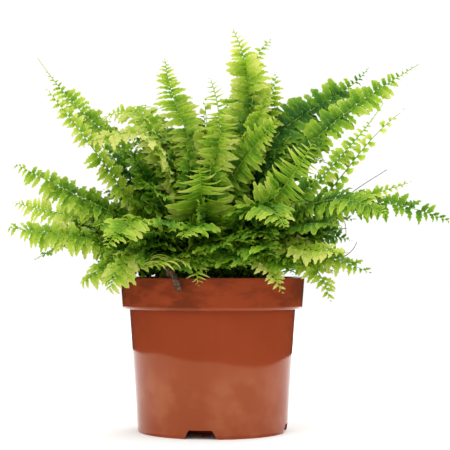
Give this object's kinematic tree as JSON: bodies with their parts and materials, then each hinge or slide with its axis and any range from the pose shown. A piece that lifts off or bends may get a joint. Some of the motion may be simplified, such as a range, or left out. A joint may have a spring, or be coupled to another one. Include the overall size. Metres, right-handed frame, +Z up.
{
  "type": "potted sword fern",
  "caption": "Bushy sword fern with arching, toothed fronds growing in a round tapered nursery pot with an overhanging rim band and drain notches in its foot.",
  "frame": {"origin": "middle of the pot's underside, on the surface it stands on", "axes": "+Z up along the pot's axis, +X to the plant's right-hand side, -Y to its front; +X is also the direction of its longest extent"},
  "size_m": [0.2852, 0.2121, 0.2661],
  "materials": {
    "pot": "satin",
    "soil": "matte",
    "crown": "matte",
    "leaf_mature": "satin",
    "leaf_young": "satin",
    "leaf_pale": "satin",
    "leaf_round": "satin",
    "runner": "matte"
  },
  "bodies": {
    "root": {"pot": "pot", "soil": "soil", "crown": "crown", "frond_01": "leaf_pale", "frond_02": "leaf_young", "frond_03": "leaf_young", "frond_04": "leaf_young", "frond_05": "leaf_pale", "frond_06": "leaf_young", "frond_07": "leaf_young", "frond_08": "leaf_young", "frond_09": "leaf_young", "frond_10": "leaf_mature", "frond_11": "leaf_round", "frond_12": "leaf_pale", "frond_13": "leaf_young", "frond_14": "leaf_mature", "frond_15": "leaf_young", "frond_16": "leaf_mature", "frond_17": "leaf_young", "frond_18": "leaf_pale", "frond_19": "leaf_pale", "frond_20": "leaf_young", "frond_21": "leaf_pale", "frond_22": "leaf_young", "frond_23": "leaf_young", "frond_24": "leaf_mature", "frond_25": "leaf_mature", "frond_26": "leaf_mature", "frond_27": "leaf_mature", "frond_28": "leaf_mature", "frond_29": "leaf_pale", "frond_30": "leaf_round", "frond_31": "leaf_pale", "frond_32": "leaf_mature", "frond_33": "leaf_mature", "frond_34": "leaf_young", "frond_35": "leaf_mature", "frond_36": "leaf_young", "frond_37": "leaf_mature", "frond_38": "leaf_mature", "frond_39": "leaf_young", "frond_40": "leaf_mature", "frond_41": "leaf_mature", "frond_42": "leaf_young", "frond_43": "leaf_mature", "frond_44": "leaf_mature", "frond_45": "leaf_young", "frond_46": "leaf_mature", "frond_47": "leaf_mature", "frond_48": "leaf_young", "frond_49": "leaf_mature", "frond_50": "leaf_mature", "frond_51": "leaf_young", "frond_52": "leaf_mature", "frond_53": "leaf_mature", "runner_1": "runner", "runner_2": "runner", "runner_3": "runner", "root_tip": "runner"}
  },
  "joints": []
}
